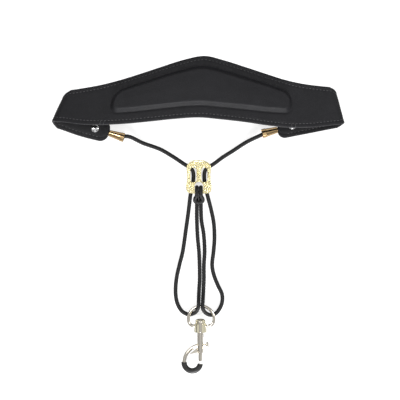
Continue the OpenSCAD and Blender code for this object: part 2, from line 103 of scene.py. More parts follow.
FLOOR, FLOOR_Z = 3.0, -0.0004     # metres; just below the strap, so that no faces coincide
floor = mesh_object("floor", [(-FLOOR, -FLOOR, 0), (FLOOR, -FLOOR, 0), (FLOOR, FLOOR, 0),
                              (-FLOOR, FLOOR, 0)], [(0, 1, 2, 3)], smooth=False)
floor.location.z = FLOOR_Z
lamp("key_lamp", (0.1, -1.15, 0.50), size=0.6, watts=26)
lamp("top_lamp", (-0.5, 0.35, 1.3), size=0.6, watts=6)
lamp("side_lamp", (0.9, 0.2, 0.9), size=0.4, watts=4)

print("camera lens", round(camera_data.lens, 1))

# %% [markdown]
# ## Writing shaders as sums
# A finish is easier to read as arithmetic than as a web of nodes. `Wire` wraps one socket, and
# every + - * adds a Math node. Other nodes come from `Nodes.node`, for the sky as for a finish.

# %% Shader helpers
class Wire:
    def __init__(self, nodes, socket):
        self.nodes, self.socket = nodes, socket

    def _math(self, operation, other, swap=False):
        values = [self, other][::-1] if swap else [self, other]
        return self.nodes.node("ShaderNodeMath", {"operation": operation}, values)

    def __add__(self, other):
        return self._math("ADD", other)

    def __sub__(self, other):
        return self._math("SUBTRACT", other)

    def __mul__(self, other):
        return self._math("MULTIPLY", other)

    def __radd__(self, other):
        return self._math("ADD", other)

    def __rmul__(self, other):
        return self._math("MULTIPLY", other)

    def __rsub__(self, other):
        return self._math("SUBTRACT", other, swap=True)


# A Mix node has sockets of the same name for each kind of value. These are the colour ones.
MIX_SHARE, MIX_FIRST, MIX_SECOND, MIX_RESULT = 0, 6, 7, 2


class Nodes:
    def __init__(self, tree):
        self.tree = tree

    def node(self, kind, settings=None, values=(), out=0):
        made = self.tree.nodes.new(kind)
        for key, value in (settings or {}).items():
            if key == "ramp":
                self._stops(made.color_ramp, value)
            else:
                setattr(made, key, value)
        pairs = values.items() if isinstance(values, dict) else enumerate(values)
        for key, value in pairs:
            self.feed(made.inputs[key], value)
        return Wire(self, made.outputs[out])

    @staticmethod
    def _stops(ramp, stops):
        for i, (place, colour) in enumerate(stops):
            stop = ramp.elements[i] if i < 2 else ramp.elements.new(place)
            stop.position = place
            stop.color = (*colour, 1)

    def feed(self, socket, value):
        if isinstance(value, Wire):
            self.tree.links.new(value.socket, socket)
        else:
            socket.default_value = value


class Finish(Nodes):
    def __init__(self, name):
        self.material = bpy.data.materials.new(name)
        self.material.use_nodes = True
        super().__init__(self.material.node_tree)
        self.shader = self.tree.nodes["Principled BSDF"]

    def set(self, **values):
        for key, value in values.items():
            self.feed(self.shader.inputs[key.replace("_", " ")], value)
        return self

    def place(self):
        return self.node("ShaderNodeTexCoord", out="Object")

    def noise(self, scale, detail=3.0, rough=0.5):
        return self.node("ShaderNodeTexNoise", values={"Vector": self.place(), "Scale": scale,
                                                      "Detail": detail, "Roughness": rough})

    def cells(self, scale, feature="F1"):
        return self.node("ShaderNodeTexVoronoi", {"feature": feature},
                         {"Vector": self.place(), "Scale": scale})

    def blend(self, share, first, second):
        colours = {MIX_SHARE: share, MIX_FIRST: (*first, 1), MIX_SECOND: (*second, 1)}
        return self.node("ShaderNodeMix", {"data_type": "RGBA"}, colours, MIX_RESULT)

    def bump(self, height, depth, strength=1.0):
        normal = self.node("ShaderNodeBump", values={"Height": height, "Strength": strength,
                                                     "Distance": depth})
        self.feed(self.shader.inputs["Normal"], normal)
        return self


# %% [markdown]
# ## Sky
# Polished metal only looks like metal when it has something dark to reflect. A studio uses black
# cards for this. Here the sky itself is bright with dark bands across it, which needs no cards
# that would have to be kept out of view.

# %% Sky with dark bands
SKY_STRENGTH = 0.68
BANDS = [(0, 0.25), (0.16, 0.9), (0.30, 0.16), (0.41, 0.95), (0.61, 0.95), (0.72, 0.16),
         (0.86, 0.8)]             # place across X from 0 to 1, brightness


def studio_sky():
    world = bpy.data.worlds.new("studio")
    bpy.context.scene.world = world
    world.use_nodes = True
    sky = Nodes(world.node_tree)
    place = sky.node("ShaderNodeTexCoord", out="Generated")
    across = sky.node("ShaderNodeSeparateXYZ", values=[place]) * 0.5 + 0.5
    bands = sky.node("ShaderNodeValToRGB", {"ramp": [(at, (level,) * 3) for at, level in BANDS]},
                     [across])
    bands.socket.node.color_ramp.interpolation = "EASE"
    background = world.node_tree.nodes["Background"]
    sky.feed(background.inputs["Color"], bands)
    sky.feed(background.inputs["Strength"], SKY_STRENGTH)


studio_sky()
bpy.context.scene.view_settings.view_transform = "Standard"
print("sky bands", len(BANDS))

# %% [markdown]
# ## Finishes
# The pad is embossed leather: fine pebbles half to one millimetre across with a low sheen.
# Pebbles come from cell noise, with a slow noise over them so that the grain isn't even.

# %% Leather
def leather(name, dark, light, grain, roughness):
    f = Finish(name)
    pebbles = f.cells(grain)
    slow = f.noise(60, 2.0)
    worn = f.noise(260, 4.0)
    f.set(Base_Color=f.blend(pebbles * 0.5 + slow * 0.5, dark, light),
          Roughness=roughness + 0.16 * worn - 0.08 * pebbles, Specular_IOR_Level=0.2)
    return f.bump(pebbles * -0.7 + worn * 0.5, 0.0004, 0.8).material


outer_leather = leather("outer leather", (0.0062, 0.0062, 0.0074), (0.0145, 0.0145, 0.017),
                        1250, 0.47)
lining_leather = leather("lining leather", (0.010, 0.010, 0.011), (0.020, 0.020, 0.022), 1700, 0.58)
edge_paint = leather("painted edge", (0.035, 0.035, 0.038), (0.07, 0.07, 0.075), 2200, 0.5)

# %% [markdown]
# Metal finishes are one recipe: a plated colour that drifts a little, fine scratches in the
# roughness, and a faint cast unevenness in the surface.

# %% Metals
def plated(name, deep, bright, roughness, cast=0.00004, grain=700):
    f = Finish(name)
    drift = f.noise(90, 3.0)
    scratch = f.noise(grain, 5.0, 0.65)
    f.set(Base_Color=f.blend(drift, deep, bright), Metallic=1.0,
          Roughness=roughness + 0.14 * scratch - 0.05)
    return f.bump(scratch + drift * 0.5, cast, 0.35).material


bell_gold = plated("bell gold", (0.80, 0.52, 0.24), (0.92, 0.68, 0.38), 0.14)
adjuster_gold = plated("pale cast gold", (0.86, 0.74, 0.36), (0.98, 0.90, 0.60), 0.24, 0.00012)
hook_plate = plated("champagne plate", (0.78, 0.72, 0.61), (0.97, 0.92, 0.83), 0.13)
head_plate = plated("swivel plate", (0.86, 0.79, 0.53), (0.98, 0.93, 0.74), 0.16)
rivet_plate = plated("rivet nickel", (0.72, 0.72, 0.74), (0.92, 0.92, 0.93), 0.12)
spring_steel = plated("spring steel", (0.45, 0.45, 0.46), (0.62, 0.62, 0.64), 0.25)


def dip_coating():
    f = Finish("black dip coating")
    smear = f.noise(180, 3.0)
    f.set(Base_Color=f.blend(smear, (0.010, 0.010, 0.010), (0.024, 0.024, 0.024)),
          Roughness=0.34 + 0.15 * smear, Specular_IOR_Level=0.3)
    return f.bump(smear, 0.0002, 0.5).material


def braid_yarn():
    f = Finish("braided yarn")
    fibre = f.noise(2600, 4.0, 0.7)
    slow = f.noise(150, 2.0)
    mixed = fibre * 0.7 + slow * 0.3
    f.set(Base_Color=f.blend(mixed, (0.002, 0.002, 0.002), (0.016, 0.016, 0.017)),
          Roughness=0.52 + 0.2 * fibre, Specular_IOR_Level=0.3)
    return f.bump(fibre, 0.00015, 0.6).material


def sewing_thread():
    f = Finish("sewing thread")
    twist = f.noise(3200, 2.0)
    f.set(Base_Color=f.blend(twist, (0.02, 0.02, 0.022), (0.062, 0.062, 0.066)),
          Roughness=0.5 + 0.2 * twist)
    return f.material


def white_table():
    """Seen directly it is plain white. Metal reflects it as a mid grey, which gives it edges."""
    f = Finish("white table")
    slow = f.noise(3, 1.0)
    seen = f.node("ShaderNodeLightPath", out="Is Camera Ray")
    f.set(Base_Color=f.blend(slow, (0.40, 0.40, 0.40), (0.44, 0.44, 0.44)),
          Roughness=0.9 + 0.02 * slow, Emission_Strength=0.75,
          Emission_Color=f.blend(seen, (0.0, 0.0, 0.0), (1.0, 1.0, 1.0)))
    return f.material


dip_black = dip_coating()
yarn_black = braid_yarn()
thread_black = sewing_thread()
floor.data.materials.append(white_table())

# %% [markdown]
# ## The pad's surface
# The pad is a strip whose ends curl under. Every straight line across it points to one apex, so
# it is a piece of a cone, which is how a flat piece of leather bends. A station number runs 0 to 1
# along the front, 1 to 2 round the tight fold and 2 to 3 back along the end tab. These are the
# CAD model's own sizes and formulas, so the soft pad sits exactly where its CAD solids are.

# %% Pad sizes and outline
PAD_W, PAD_LIFT, FOLD_R = 304, 45, 7
LINING_T, COVER_T, CUSHION_H, CORD_D = 1.4, 1.7, 5.0, 4.0
APEX_X, APEX_Y, REF_Y = 40, 505, 100
FOLD_DROP, TAB_Z = 18, 7.0
TAB_RUN = {LEFT: 53, RIGHT: 60}
TAB_ROUND = 7
EDGES = {
    LEFT: [(0, 101.5, 164), (0.17, 100, 160), (0.34, 97.5, 153), (0.5, 95.5, 146),
           (0.65, 94.7, 139.8), (0.8, 95.3, 135), (1, 98.5, 131), (1.5, 98.5, 124),
           (2, 92.5, 118), (2.5, 84.5, 108), (3, 78.2, 98.6)],
    RIGHT: [(0, 101.5, 164), (0.17, 99.5, 159.5), (0.34, 96.8, 153), (0.5, 93.5, 146.5),
            (0.65, 91.7, 140.5), (0.8, 92.3, 136.5), (1, 95.5, 134), (1.5, 97, 129),
            (2, 93, 123), (2.5, 87.5, 112), (3, 81.7, 102)],
}
FRONT_X = PAD_W / 2 - COVER_T - FOLD_R + 0.4
LIFT = PAD_LIFT - COVER_T
LEAN = math.atan(2 * FOLD_DROP / FRONT_X)
TAB_SLOPE = 6                     # degrees by which a tab leaves the fold off level
TURN = math.radians(180 - TAB_SLOPE) - LEAN
FOLD_Z = LIFT - FOLD_DROP - FOLD_R * math.cos(LEAN)
FOLD_X = FRONT_X - FOLD_R * math.sin(LEAN)
BACK_X = FOLD_X + FOLD_R * math.cos(math.pi / 2 - LEAN - TURN)
BACK_Z = FOLD_Z + FOLD_R * math.sin(math.pi / 2 - LEAN - TURN)


def cubic(s, start, end, leave_start, reach_end):
    """A place on a cubic that leaves start and reaches end with the given slopes."""
    return ((2*s**3 - 3*s**2 + 1) * start + (s**3 - 2*s**2 + s) * leave_start
            + (3*s**2 - 2*s**3) * end + (s**3 - s**2) * reach_end)


def smooth_key(keys, t, column):
    """A cubic through keys, with averaged slopes."""
    i = 0
    while i < len(keys) - 2 and t > keys[i + 1][0]:
        i += 1

    def slope(n):
        if n == 0:
            return 0
        a, b = (n - 1, n) if n == len(keys) - 1 else (n - 1, n + 1)
        return (keys[b][column] - keys[a][column]) / (keys[b][0] - keys[a][0])

    width = keys[i + 1][0] - keys[i][0]
    return cubic((t - keys[i][0]) / width, keys[i][column], keys[i + 1][column],
                 slope(i) * width, slope(i + 1) * width)


def section(side, t):
    """Distance from the middle and height of the middle layer at a station."""
    if t <= 1:
        return t * FRONT_X, LIFT - FOLD_DROP * t * t
    if t <= 2:
        a = math.pi / 2 - LEAN - TURN * (t - 1)
        return FOLD_X + FOLD_R * math.cos(a), FOLD_Z + FOLD_R * math.sin(a)
    return BACK_X - (t - 2) * TAB_RUN[side], TAB_Z + (BACK_Z - TAB_Z) * (3 - t) ** 2


def corner(side, t):
    """The share of its width that a tab keeps near its rounded end."""
    d = (3 - t) * TAB_RUN[side]
    if d >= TAB_ROUND:
        return 1
    return 0.38 + 0.62 * math.sqrt(1 - (1 - d / TAB_ROUND) ** 2)


def edge_y(side, t, f):
    low, high = smooth_key(EDGES[side], t, 1), smooth_key(EDGES[side], t, 2)
    return (low + high) / 2 + (f - 0.5) * (high - low) * corner(side, t)


def on_cone(side, t, y):
    """A place on the middle layer: the section shrinks towards the apex."""
    x, z = section(side, t)
    k = (APEX_Y - y) / (APEX_Y - REF_Y)
    return np.array([APEX_X + (side * x - APEX_X) * k, y, z * (0.35 + 0.65 * k)])


def outward(side, t, y):
    """The direction away from the neck side of the pad."""
    a = on_cone(side, min(3, t + 0.02), y) - on_cone(side, max(0, t - 0.02), y)
    b = on_cone(side, t, y + 1) - on_cone(side, t, y - 1)
    n = np.cross(a, b)
    return n / np.linalg.norm(n) * side


def ramp(x):
    """Rises smoothly from 0 to 1 as x does."""
    x = min(1, max(0, x))
    return x * x * (3 - 2 * x)


# %% [markdown]
# ## The raised cushion
# The centre panel is leather pressed over foam: a steep flank, a crowned top and a sunk line all
# round where the press held it down. Its height is worked out from the distance to its outline,
# so one function gives the flank, the crown and the groove. A cloth simulation would round away
# the crisp pressed edge, so the crown is shaped by this formula.

# %% Cushion and cord pocket
CUSHION_ENDS = {LEFT: 93, RIGHT: 97.5}
CUSHION_LOW, CUSHION_HIGH = 12.4, 10.5      # distance of the cushion from the pad's two edges
CUSHION_ROUND = 9
GROOVE_DEPTH, GROOVE_W, GROOVE_OUT = 0.55, 0.9, 0.4
FLANK_W, FLANK_OUT = 4.2, 0.3
CROWN_H, CROWN_W = 0.5, 18
CUSHION_RISE = {LEFT: -0.6, RIGHT: 3.2}   # the lower border's bend towards each end
POCKET_H = CORD_D + 0.6
POCKET_FLAT, POCKET_SIDE = 5.5, 4  # past the cord on each side, then the slope down
TAIL_RUN, POCKET_END = 20, 14


def inside_cushion(side, t, y):
    """Distance inside the cushion's outline, negative outside it."""
    x = t * FRONT_X
    share = x / CUSHION_ENDS[side]
    low = smooth_key(EDGES[side], t, 1) + CUSHION_LOW + CUSHION_RISE[side] * share ** 2
    high = smooth_key(EDGES[side], t, 2) - CUSHION_HIGH - 6.5 * max(0, share - 0.75) ** 1.3
    dy = min(y - low, high - y) * 0.96
    dx = CUSHION_ENDS[side] - x
    if dx < CUSHION_ROUND and dy < CUSHION_ROUND:
        return CUSHION_ROUND - math.hypot(CUSHION_ROUND - dx, CUSHION_ROUND - dy)
    return min(dx, dy)


def cushion(side, t, y):
    """Height of the raised panel above the cover."""
    if t > 1:
        return 0
    d = inside_cushion(side, t, y)
    groove = -GROOVE_DEPTH * math.exp(-((d + GROOVE_OUT) / GROOVE_W) ** 2)
    if d <= -FLANK_OUT:
        return groove
    flank = (CUSHION_H - CROWN_H) * ramp((d + FLANK_OUT) / FLANK_W)
    return groove + (flank + CROWN_H * ramp(d / CROWN_W))


def pocket(side, t, y):
    """Height of the swelling over the cord's flattened tail."""
    if t < 2:
        return 0
    d = (3 - t) * TAB_RUN[side]
    off = abs(y - edge_y(side, t, 0.5))
    return (POCKET_H * ramp((TAIL_RUN + POCKET_END - d) / POCKET_END)
            * ramp((CORD_D / 2 + POCKET_FLAT - off) / POCKET_SIDE))


# %% [markdown]
# ## Cover and lining
# Each is a closed sheet: an outer face, an inner face and a rounded edge between them. Rows are
# packed closely where the leather bends or rises. The two meet at the middle layer.

# %% Stations along the pad
FRONT_ROWS, FOLD_ROWS, TAB_ROWS = 110, 26, 40
TAB_TIP = [2.965, 2.98, 2.99, 2.996, 3]  # closer rows round the tab's end


def station_list():
    half = [i / FRONT_ROWS for i in range(1, FRONT_ROWS)]
    half += [1 + i / FOLD_ROWS for i in range(FOLD_ROWS)]
    half += [2 + i / TAB_ROWS for i in range(TAB_ROWS - 2)]
    half += TAB_TIP
    return [(LEFT, t) for t in reversed(half)] + [(RIGHT, 0)] + [(RIGHT, t) for t in half]


STATIONS = station_list()
EDGE_STEPS = [0, 0.006, 0.018, 0.035]
ACROSS_STEPS = 62
ACROSS = (EDGE_STEPS + [0.035 + 0.93 * i / ACROSS_STEPS for i in range(1, ACROSS_STEPS)]
          + [1 - e for e in reversed(EDGE_STEPS)])
STITCH_IN = 4.0                   # the stitch line's distance from the edge
SEAM_SINK, SEAM_W = 0.32, 1.0
CREASE_H, CREASE_AT, CREASE_W = 0.12, 1.45, 0.5
PLY_GAP = 0.02                    # keeps the two leathers from sharing a face


def sunk_stitches(side, t, y):
    """The seam pulls the leather in a little along both edges."""
    low, high = edge_y(side, t, 0), edge_y(side, t, 1)
    d = min(y - low, high - y)
    return -SEAM_SINK * math.exp(-((d - STITCH_IN) / SEAM_W) ** 2)


def creases(side, t, y):
    """Soft wrinkles across the leather where it turns."""
    bend = math.exp(-((t - CREASE_AT) / CREASE_W) ** 2)
    return bend * CREASE_H * math.sin(31 * t + 0.11 * y) * math.sin(0.23 * y + 2 * side)


def face(height, detail):
    """Points of one face of a layer; detail adds to the height at each place."""
    rows = []
    for side, t in STATIONS:
        for f in ACROSS:
            y = edge_y(side, t, f)
            up = height + detail(side, t, f, y)
            rows.append(on_cone(side, t, y) + outward(side, t, y) * up)
    return rows


def sheet_faces(rows, cols):
    """Faces of two grids of points, one over the other, and of the rim that joins them."""
    n = rows * cols
    faces = []
    for i in range(rows - 1):
        for j in range(cols - 1):
            a = i * cols + j
            faces.append((a, a + 1, a + cols + 1, a + cols))
            faces.append((n + a + cols, n + a + cols + 1, n + a + 1, n + a))
    rim = list(range(cols)) + [i * cols + cols - 1 for i in range(1, rows)]
    rim += [(rows - 1) * cols + j for j in range(cols - 2, -1, -1)]
    rim += [i * cols for i in range(rows - 2, 0, -1)]
    for a, b in zip(rim, rim[1:] + rim[:1]):
        faces.append((b, a, a + n, b + n))
    return faces


def edge_round(f, thick):
    """How far the face is drawn in near the edge, so the leather's edge is rounded."""
    d = min(f, 1 - f) / EDGE_STEPS[-1]
    return thick * 0.42 * (1 - math.sqrt(1 - (1 - min(1, d)) ** 2))


def cover_top(side, t, f, y):
    raised = cushion(side, t, y) + pocket(side, t, y)
    return raised + sunk_stitches(side, t, y) + creases(side, t, y) - edge_round(f, COVER_T)


def cover_under(side, t, f, y):
    return max(0, cushion(side, t, y)) + pocket(side, t, y) + PLY_GAP


def lining_face(side, t, f, y):
    return -sunk_stitches(side, t, y) + 0.6 * creases(side, t, y) + edge_round(f, LINING_T)


rows, cols = len(STATIONS), len(ACROSS)
pad_cover = mesh_object("leather_cover", in_metres(face(0, cover_under) + face(COVER_T, cover_top)),
                        sheet_faces(rows, cols))
pad_lining = mesh_object("leather_lining", in_metres(face(-LINING_T, lining_face)
                                                     + face(-PLY_GAP, lambda *place: 0)),
                         sheet_faces(rows, cols))
rim_start = 2 * (rows - 1) * (cols - 1)
for piece, node, hide, slot in ((pad_cover, "pad_cover", outer_leather, "outer_leather"),
                                (pad_lining, "pad_lining", lining_leather, "lining_leather")):
    piece.data.materials.append(hide)
    piece.data.materials.append(edge_paint)
    for polygon in piece.data.polygons[rim_start:]:
        polygon.material_index = 1
    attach(piece, "pad")
    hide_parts(node)
print("pad points", rows * cols * 4)

# %% [markdown]
# ## The foam
# The foam block fills the raised panel. It is out of sight, but the panel is its shape, so it is
# cut by the same outline a little smaller.

# %% Foam
FOAM_SLACK = 0.12                 # room between the foam and the leather over it


def foam_grid(columns=14, inset=0.7, tries=240, fewest=6):
    """Rows of foam where the panel is raised; a row too short to fill is left out."""
    low_face, high_face, kept = [], [], 0
    for side, t in STATIONS:
        if t > 1:
            continue
        ys = [edge_y(side, t, f) for f in np.linspace(0.1, 0.9, tries)]
        held = [y for y in ys if inside_cushion(side, t, y) > inset]
        if len(held) < fewest:
            continue
        kept += 1
        for y in np.linspace(held[0], held[-1], columns):
            base, out = on_cone(side, t, y), outward(side, t, y)
            low_face.append(base + out * 0.05)
            high_face.append(base + out * max(FOAM_SLACK, cushion(side, t, y) - FOAM_SLACK))
    return low_face, high_face, kept, columns


low_face, high_face, foam_rows, foam_cols = foam_grid()
foam = mesh_object("cushion_foam", in_metres(low_face + high_face),
                   sheet_faces(foam_rows, foam_cols))


def grey_foam():
    f = Finish("grey foam")
    pores = f.cells(1800)
    f.set(Base_Color=f.blend(pores, (0.10, 0.10, 0.11), (0.2, 0.2, 0.21)),
          Roughness=0.85 + 0.1 * pores)
    return f.material


foam.data.materials.append(grey_foam())
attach(foam, "pad")
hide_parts("pad_foam")
print("foam rows", foam_rows)

# %% [markdown]
# ## The leathers as cut
# Before it is folded each leather is a flat curved strip, about 63 mm wide at its middle.


# %% [markdown]
# ## Stitching
# One line of thread runs 4 mm inside each edge, on both faces. Each stitch is its own small
# spindle that sinks into the leather at both ends. Two short bars of stitches cross the hem on
# each arm, where the strip is joined.

# %% Stitches
STITCH_STEP, STITCH_LEN, THREAD_R = 3.7, 2.7, 0.36
STITCH_SIDES = 8
THREAD_UP, SEAM_END = 0.05, 2.9   # height of the thread's middle, last station of the seam
SPINDLE = [  # place along half a stitch, share of the thread's radius, depth in the leather
    (-1, 0.25, 0.30), (-0.6, 0.85, 0.04), (0, 1, -0.06), (0.6, 0.85, 0.04), (1, 0.25, 0.30)]
HEM_BARS, HEM_BAR_UP = (0.655, 0.68), (0.9, 3.0)  # stations, and distances from the lower edge


def tube_faces(rings, sides, base=0):
    """Faces round a tube of points and over its two ends."""
    faces = []
    for i in range(rings - 1):
        for k in range(sides):
            a, b = base + i * sides + k, base + i * sides + (k + 1) % sides
            faces.append((a, b, b + sides, a + sides))
    faces.append(tuple(base + k for k in range(sides - 1, -1, -1)))
    faces.append(tuple(base + (rings - 1) * sides + k for k in range(sides)))
    return faces


def stitch(points, faces, middle, along, out):
    """Adds one spindle-shaped stitch."""
    side = np.cross(along, out)
    faces.extend(tube_faces(len(SPINDLE), STITCH_SIDES, len(points)))
    for share, r, sink in SPINDLE:
        for k in range(STITCH_SIDES):
            a = math.tau * k / STITCH_SIDES
            points.append(middle + along * (share * STITCH_LEN / 2) - out * sink
                          + (side * math.cos(a) + out * math.sin(a)) * r * THREAD_R)


def seam_line(upper, height):
    """Evenly spaced places along a seam: (middle, along, out)."""
    last, run, places = None, 0, []
    face_side = math.copysign(1, height)
    for side, t in STATIONS:
        if t >= SEAM_END:
            continue
        y = edge_y(side, t, 1) - STITCH_IN if upper else edge_y(side, t, 0) + STITCH_IN
        out = outward(side, t, y)
        up = height + face_side * (THREAD_UP + sunk_stitches(side, t, y))
        spot = on_cone(side, t, y) + out * up
        if last is not None:
            gap = np.linalg.norm(spot - last)
            while run + gap >= STITCH_STEP:
                part = (STITCH_STEP - run) / gap
                here = last + (spot - last) * part
                places.append((here, (spot - last) / gap, out))
                gap -= STITCH_STEP - run
                last, run = here, 0
            run += gap
        last = spot
    return places


def make_stitching():
    points, faces = [], []
    for upper in (False, True):
        for height, sign in ((COVER_T, 1), (-LINING_T, -1)):
            for middle, along, out in seam_line(upper, height):
                stitch(points, faces, middle, along, out * sign)
    for side in (LEFT, RIGHT):
        for t in HEM_BARS:
            for up in HEM_BAR_UP:
                y = edge_y(side, t, 0) + up
                out = outward(side, t, y)
                stitch(points, faces, on_cone(side, t, y) + out * (COVER_T + 0.02),
                       np.array([0.0, 1.0, 0.0]), out)
    return mesh_object("edge_stitching", in_metres(points), faces)


stitching = make_stitching()
stitching.data.materials.append(thread_black)
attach(stitching, "pad")
print("stitching faces", len(stitching.data.polygons))

# %% [markdown]
# ## The braided cord
# One cord makes the whole strap: from the tail in each bell, through the adjuster, round the ring
# and up to the hitch. Its route is a list of given points, the same as in the CAD model,
# joined by one smooth curve. The braid is real relief: two sets of ridges wind round the tube in
# opposite directions, and where they cross the yarn stands proud.

# %% Routes
def tab_end(side):
    return on_cone(side, 3, edge_y(side, 3, 0.5))


CORD_Z = tab_end(LEFT)[2] - POCKET_H / 2
TABLE_GAP = 0.03                  # the cord's least height above the table


def leave(side, d):
    """A point d millimetres out from the tab's end, level and in line with the tab."""
    step = tab_end(side) - on_cone(side, 2.9, edge_y(side, 2.9, 0.5))
    step[2] = 0
    step /= np.linalg.norm(step)
    place = tab_end(side) + step * d
    return place[0], place[1], CORD_Z


ROUTE = {
    LEFT: [leave(LEFT, 7), leave(LEFT, 12), (-72, 84.5, 4), (-58, 78, 2.1), (-40, 71.5, 2.1),
           (-26, 63.5, 2.3), (-14, 55.5, 4.1), (-7.5, 51.5, 4.1), (-5, 47, 4.1), (-5, 38, 4.1),
           (-6.5, 30, 4.1), (-8, 22.5, 3.9), (-10, 6, 2.1), (-12.5, -12, 2.1), (-16, -36, 2.1),
           (-19.5, -50, 2.1), (-22.5, -64, 2.1), (-23.5, -78, 2.1), (-22, -89, 2.1),
           (-17.5, -97.5, 2.1), (-12.5, -101, 2.1), (-8.5, -101.8, 2.1), (-5, -100.6, 3.5),
           (-2.2, -98.6, 6.2), (-0.6, -96, 8.8), (0.4, -93, 9.8), (0.7, -88, 8.8),
           (1, -78, 3.4), (1.8, -64, 2.1), (1.6, -50, 2.1), (1, -36, 2.1), (-0.4, -21, 2.1),
           (-1.2, -3, 2.1), (-1.2, 12, 2.1)],
    RIGHT: [leave(RIGHT, 7), leave(RIGHT, 12), (63.5, 85, 4), (51, 79, 2.1), (35.5, 69, 2.1),
            (26, 63, 2.3), (15.8, 55.5, 4.1), (9.3, 51.5, 4.1), (6.8, 47, 4.1), (6.8, 38, 4.1),
            (8.3, 30, 4.1), (10, 22.5, 3.9), (13.5, 9, 2.1), (16.5, -6, 2.1), (17.3, -22, 2.1),
            (16.3, -36, 2.1), (14.8, -50, 2.1), (16.5, -60, 2.1), (21, -71.5, 2.1),
            (25, -80, 2.1), (25.6, -87, 2.1), (23.5, -94, 2.1), (19, -100.3, 2.1),
            (14.5, -102.2, 2.1), (10.8, -101.6, 3.1), (7.6, -99.2, 5.8), (5.6, -96.2, 8.8),
            (4.7, -93, 9.8), (5, -88, 8.8), (5.6, -78, 3.4), (6.2, -64, 2.1), (6.2, -50, 2.1),
            (7, -36, 2.1), (6, -18, 2.1), (3.6, -3, 2.1), (3, 12, 2.1)],
}
UPPER_N, SLOT_N = 6, 11           # the route's points where the cord enters and leaves a slot
HITCH_HALF = [(-1.2, 16, 2.1), (-1.2, 25, 2.1), (-1.2, 28.9, 2.1), (-1.2, 31, 3.6),
              (-1.2, 31.6, 5.6), (-1.2, 31.3, 8.2), (-1.2, 30.2, 10), (-1.2, 27.9, 10.9),
              (-1.2, 25, 10.9), (-1.4, 22.3, 10), (-3, 19.6, 7.8), (-2.8, 16.8, 6.6)]
HITCH_X = 0.9
HITCH = ([(-1.2, 12, 2.1)] + HITCH_HALF + [(HITCH_X, 15.6, 6.4)]
         + [(2 * HITCH_X - x, y, z) for x, y, z in reversed(HITCH_HALF)] + [(3, 12, 2.1)])


def smooth_route(points, first, last, step=0.55):
    """Points about one step apart on a smooth curve through the route."""
    p = [np.array(q, float) for q in points]
    out = []
    for i in range(first, last):
        a, b, c, d = p[max(0, i - 1)], p[i], p[i + 1], p[min(len(p) - 1, i + 2)]
        span = np.linalg.norm(c - b)
        m0 = (c - a) * span / (span + np.linalg.norm(b - a) + 1e-9)
        m1 = (d - b) * span / (span + np.linalg.norm(d - c) + 1e-9)
        n = max(2, round(span / step))
        for k in range(n):
            out.append(cubic(k / n, b, c, m0, m1))
    out.append(p[last])
    for q in out:
        q[2] = max(q[2], CORD_D / 2 + TABLE_GAP)
    return out


# %% Braided tube
BRAID_SIDES = 24
BRAID_PITCH = 9.0                 # length over which a yarn goes once round
BRAID_YARNS = 6
BRAID_RELIEF, BRAID_SINK = 0.12, 0.02


def sweep(path, radius, sides, relief=None):
    """A closed tube along a path, with frames carried along without twist."""
    tangents = [path[min(i + 1, len(path) - 1)] - path[max(i - 1, 0)] for i in range(len(path))]
    normal = np.array([0.0, 0.0, 1.0])
    points, run = [], 0
    for i, (p, t) in enumerate(zip(path, tangents)):
        t = t / np.linalg.norm(t)
        normal = normal - t * normal.dot(t)
        normal /= np.linalg.norm(normal)
        other = np.cross(t, normal)
        run += np.linalg.norm(p - path[i - 1]) if i else 0
        for k in range(sides):
            a = math.tau * k / sides
            r = radius + (relief(a, run) if relief else 0)
            points.append(p + (normal * math.cos(a) + other * math.sin(a)) * r)
    return points, tube_faces(len(path), sides)


def braid(angle, run):
    wind = math.tau * run / BRAID_PITCH
    ridges = [math.cos(BRAID_YARNS / 2 * (angle + way * wind)) for way in (-1, 1)]
    return BRAID_RELIEF * max(ridges) - BRAID_SINK


def cord_piece(name, route, first, last, nodes, body=None, free=True):
    """One stretch of the cord, from one of its route's points to another."""
    path = smooth_route(route, first, last)
    points, faces = sweep(path, CORD_D / 2, BRAID_SIDES, braid)
    piece = mesh_object(name, in_metres(points), faces)
    piece.data.materials.append(yarn_black)
    length = sum(np.linalg.norm(b - a) for a, b in zip(path, path[1:])) * MM
    if body:
        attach(piece, body)
    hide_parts(*nodes)
    if free:
        tuple(path[0] * MM)
        [tuple(p * MM) for p in path]
    print(name, "length", round(length * 1000, 1), "mm")
    return piece, path


NAMES = {LEFT: "left", RIGHT: "right"}
for side, route in ROUTE.items():
    name = NAMES[side]
    upper, path = cord_piece(name + "_upper_cord_braid", route, 0, UPPER_N, [name + "_upper_cord"])
    tuple(path[12] * MM)
    tuple(path[-1] * MM)
    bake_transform(upper)
    cord_piece(name + "_slot_cord_braid", route, UPPER_N, SLOT_N, [name + "_slot_cord"],
               "adjuster", free=False)
    loop, path = cord_piece(name + "_loop_braid", route, SLOT_N, len(route) - 1,
                            [name + "_outer_strand", name + "_ring_bight", name + "_inner_strand"])
    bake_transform(loop)
cord_piece("cord_hitch_braid", HITCH, 0, len(HITCH) - 1, ["cord_hitch"], "adjuster", free=False)

# %% [markdown]
# ## Ring and hook arm
# The CAD model sweeps the ring's wire and the hook's arm with twelve flats. Here the same lines
# are swept finely, so the wire shines as round wire. The ring's wire is bent, and its two ends
# meet at a small gap in the flattened part.

# %% Arcs
def arc(cx, cy, r, start, stop, n):
    turns = [math.radians(start + (stop - start) * i / n) for i in range(n + 1)]
    return [np.array([cx + r * math.cos(a), cy + r * math.sin(a), 0.0]) for a in turns]


